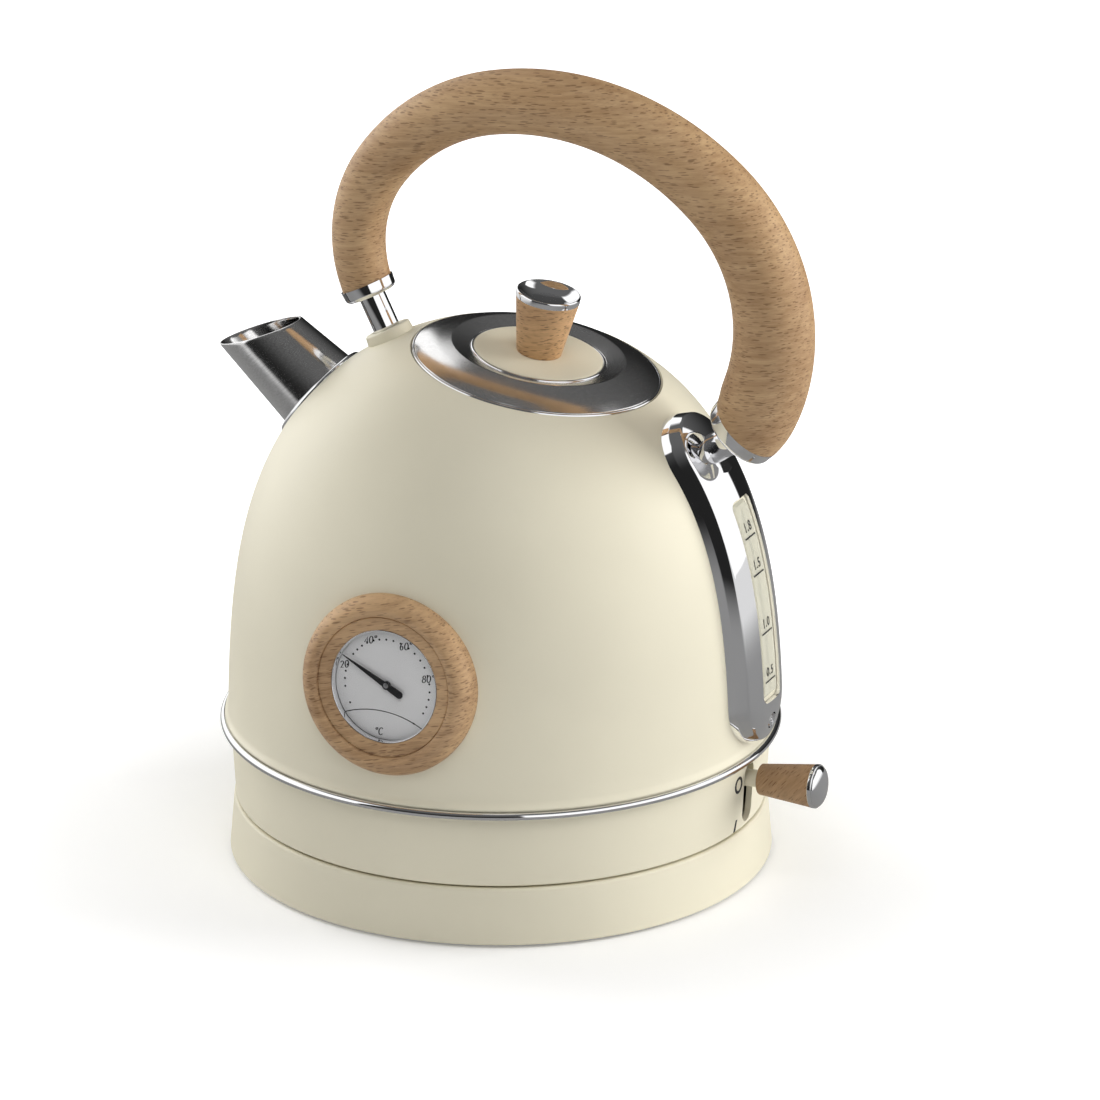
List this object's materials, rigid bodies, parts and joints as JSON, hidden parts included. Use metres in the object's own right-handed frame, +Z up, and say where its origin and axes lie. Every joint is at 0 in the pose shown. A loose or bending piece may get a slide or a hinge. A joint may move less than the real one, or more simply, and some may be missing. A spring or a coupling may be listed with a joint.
{
  "type": "cordless electric kettle",
  "caption": "Domed cordless electric kettle on a round power base, with an arched wooden handle, dial thermometer, lift-off lid, water window and on/off lever.",
  "frame": {"origin": "centre of the power base's underside, on the table plane and on the dome's vertical axis", "axes": "+Z up along the dome's axis; the spout points to -X and the handle's thick end, the water window and the lever to +X; the dial faces -Y"},
  "size_m": [0.2305, 0.199, 0.2851],
  "materials": {
    "cream_paint": "matte",
    "cream_plastic": "matte",
    "dark_plastic": "matte",
    "foot_rubber": "matte",
    "chrome_trim": "polished",
    "zinc_screw": "satin",
    "steel": "brushed",
    "aluminium_plate": "satin",
    "contact_brass": "satin",
    "beech": "oiled",
    "seal": "matte",
    "clear_window": "clear",
    "dial_pane": "clear",
    "dial_paint": "satin",
    "needle_paint": "satin"
  },
  "bodies": {
    "power_base": {"power_base_shell": "cream_plastic", "power_base_plate": "dark_plastic", "base_feet": "foot_rubber", "base_screws": "zinc_screw", "base_plug": "dark_plastic", "base_contacts": "contact_brass", "cord_gland": "foot_rubber"},
    "connector": {"socket_housing": "dark_plastic", "socket_contacts": "contact_brass"},
    "needle": {"dial_needle": "needle_paint"},
    "lid": {"lid_shell": "steel", "lid_trim": "chrome_trim", "lid_disc": "cream_paint", "lid_plug": "dark_plastic", "lid_gasket": "seal", "lid_screw": "zinc_screw", "lid_knob": "beech", "knob_cap": "chrome_trim"},
    "lever": {"lever_arm": "dark_plastic", "lever_grip": "beech", "lever_cap": "chrome_trim"},
    "kettle": {"skirt": "cream_plastic", "bottom_cover": "cream_plastic", "cover_screws": "zinc_screw", "trim_ring": "chrome_trim", "body_shell": "cream_paint", "floor_plate": "steel", "heat_spreader": "aluminium_plate", "heating_element": "steel", "thermostat": "dark_plastic", "steam_switch": "dark_plastic", "steam_tube": "steel", "spout": "steel", "spout_flange": "chrome_trim", "spout_filter": "steel", "lid_seat": "steel", "front_boss": "cream_paint", "front_post": "chrome_trim", "front_ferrule": "chrome_trim", "handle_grip": "beech", "rear_ferrule": "chrome_trim", "rear_sleeve": "chrome_trim", "rear_post": "chrome_trim", "handle_studs": "zinc_screw", "handle_bolts": "zinc_screw", "rear_housing": "chrome_trim", "window_frame": "cream_plastic", "window_lens": "clear_window", "window_gasket": "seal", "housing_screw": "chrome_trim", "dial_ring": "beech", "dial_bezel": "chrome_trim", "dial_glass": "dial_pane", "dial_face": "dial_paint", "dial_cup": "steel", "dial_nut": "steel", "dial_probe": "steel", "lever_bracket": "steel", "lever_pin": "zinc_screw"}
  },
  "joints": [
    {"name": "kettle_lift", "type": "slide", "parent": "power_base", "child": "connector", "axis": [0, 0, 1], "range_m": [0, 0.1]},
    {"name": "kettle_swivel", "type": "hinge", "parent": "connector", "child": "kettle", "pos_m": [0, 0, 0], "axis": [0, 0, 1], "continuous": true},
    {"name": "lid_lift", "type": "slide", "parent": "kettle", "child": "lid", "axis": [0.1685, 0, 0.9857], "range_m": [0, 0.04]},
    {"name": "switch_lever", "type": "hinge", "parent": "kettle", "child": "lever", "pos_m": [0.07, 0, 0.039], "axis": [0, 1, 0], "range_deg": [0, 22]},
    {"name": "gauge_needle", "type": "hinge", "parent": "kettle", "child": "needle", "pos_m": [0, -0.09349, 0.0923], "axis": [0, -0.9945, 0.1049], "range_deg": [-202, 58]}
  ]
}
